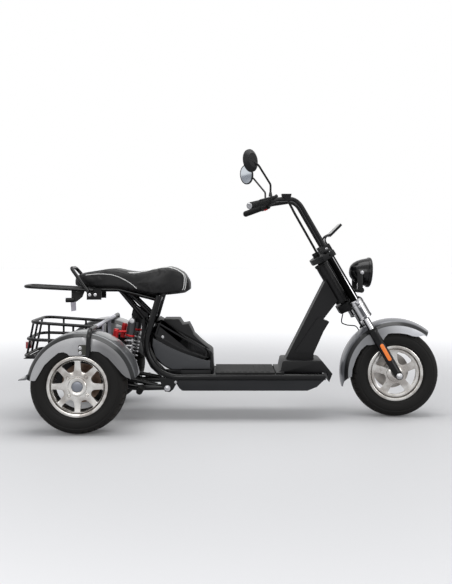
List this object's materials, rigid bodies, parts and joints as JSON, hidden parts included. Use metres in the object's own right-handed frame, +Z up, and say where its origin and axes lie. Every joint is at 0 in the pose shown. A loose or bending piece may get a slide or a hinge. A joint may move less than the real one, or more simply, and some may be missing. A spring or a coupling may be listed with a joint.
{
  "type": "three-wheeled electric scooter",
  "caption": "Three-wheeled electric scooter with a steered front wheel, two rear wheels under fenders, long seat and rear basket.",
  "frame": {"origin": "on the floor under the middle of the scooter's box", "axes": "+X forward, +Y to the rider's left, +Z up"},
  "size_m": [2.124, 0.874, 1.3336],
  "materials": {
    "gloss_black_frame": "gloss",
    "satin_black_metal": "satin",
    "grey_metallic": "satin",
    "dark_grey_panel": "satin",
    "black_plastic": "matte",
    "polished_alloy": "polished",
    "steel": "satin",
    "disc_steel": "satin",
    "tyre_rubber": "matte",
    "black_rubber": "matte",
    "seat_leather": "satin",
    "red_anodised": "gloss",
    "amber_lens": "gloss",
    "clear_lens": "gloss",
    "red_lens": "gloss"
  },
  "bodies": {
    "chassis": {"main_frame": "gloss_black_frame", "neck": "gloss_black_frame", "neck_covers": "dark_grey_panel", "front_deck": "gloss_black_frame", "rear_deck": "dark_grey_panel", "belly_pan": "dark_grey_panel", "battery": "black_plastic", "controller_case": "dark_grey_panel", "side_panels": "grey_metallic", "case_covers": "black_plastic", "seat_frame": "gloss_black_frame", "seat": "seat_leather", "grab_rack": "gloss_black_frame", "grab_hoop": "gloss_black_frame", "seat_lock": "satin_black_metal", "basket": "satin_black_metal", "fender_hoop": "satin_black_metal", "rear_fender_left": "grey_metallic", "rear_fender_right": "grey_metallic", "inner_mudguard": "black_plastic", "swingarm": "gloss_black_frame", "rear_axle": "satin_black_metal", "foot_pegs": "black_rubber", "shock_bodies": "satin_black_metal", "shock_springs": "satin_black_metal", "shock_canisters": "red_anodised", "tail_light": "red_lens"},
    "battery_lid": {"footboard": "black_rubber"},
    "steering": {"fork_sliders": "satin_black_metal", "fork_tubes": "satin_black_metal", "fork_covers": "polished_alloy", "fork_reflectors": "amber_lens", "steering_stem": "satin_black_metal", "upper_clamp": "satin_black_metal", "front_axle": "steel", "front_fender": "grey_metallic", "handlebar": "gloss_black_frame", "handle_grips": "black_rubber", "hand_controls": "black_plastic", "reservoirs": "black_plastic", "display": "black_plastic", "headlight_shell": "gloss_black_frame", "headlight_bracket": "satin_black_metal", "headlight_lens": "clear_lens", "turn_signals": "amber_lens", "mirror_heads": "black_plastic", "mirror_stalks": "satin_black_metal", "control_cables": "black_rubber", "brake_hose": "black_rubber"},
    "front_wheel": {"front_tyre": "tyre_rubber", "front_rim": "polished_alloy", "front_disc": "disc_steel"},
    "rear_wheel_right": {"rear_tyre_right": "tyre_rubber", "rear_rim_right": "polished_alloy", "rear_disc_right": "disc_steel"},
    "rear_wheel_left": {"rear_tyre_left": "tyre_rubber", "rear_rim_left": "polished_alloy", "rear_disc_left": "disc_steel"}
  },
  "joints": [
    {"name": "steering", "type": "hinge", "parent": "chassis", "child": "steering", "pos_m": [0.51716, 0, 0.68697], "axis": [-0.5, 0, 0.866], "range_deg": [-35, 35]},
    {"name": "front_wheel", "type": "hinge", "parent": "steering", "child": "front_wheel", "pos_m": [0.837, 0, 0.225], "axis": [0, 1, 0], "continuous": true},
    {"name": "rear_wheel_right", "type": "hinge", "parent": "chassis", "child": "rear_wheel_right", "pos_m": [-0.713, -0.34, 0.225], "axis": [0, 1, 0], "continuous": true},
    {"name": "rear_wheel_left", "type": "hinge", "parent": "chassis", "child": "rear_wheel_left", "pos_m": [-0.713, 0.34, 0.225], "axis": [0, 1, 0], "continuous": true},
    {"name": "battery_lid", "type": "hinge", "parent": "chassis", "child": "battery_lid", "pos_m": [0.067, 0.13, 0.2376], "axis": [-1, 0, 0], "range_deg": [0, 80]}
  ]
}
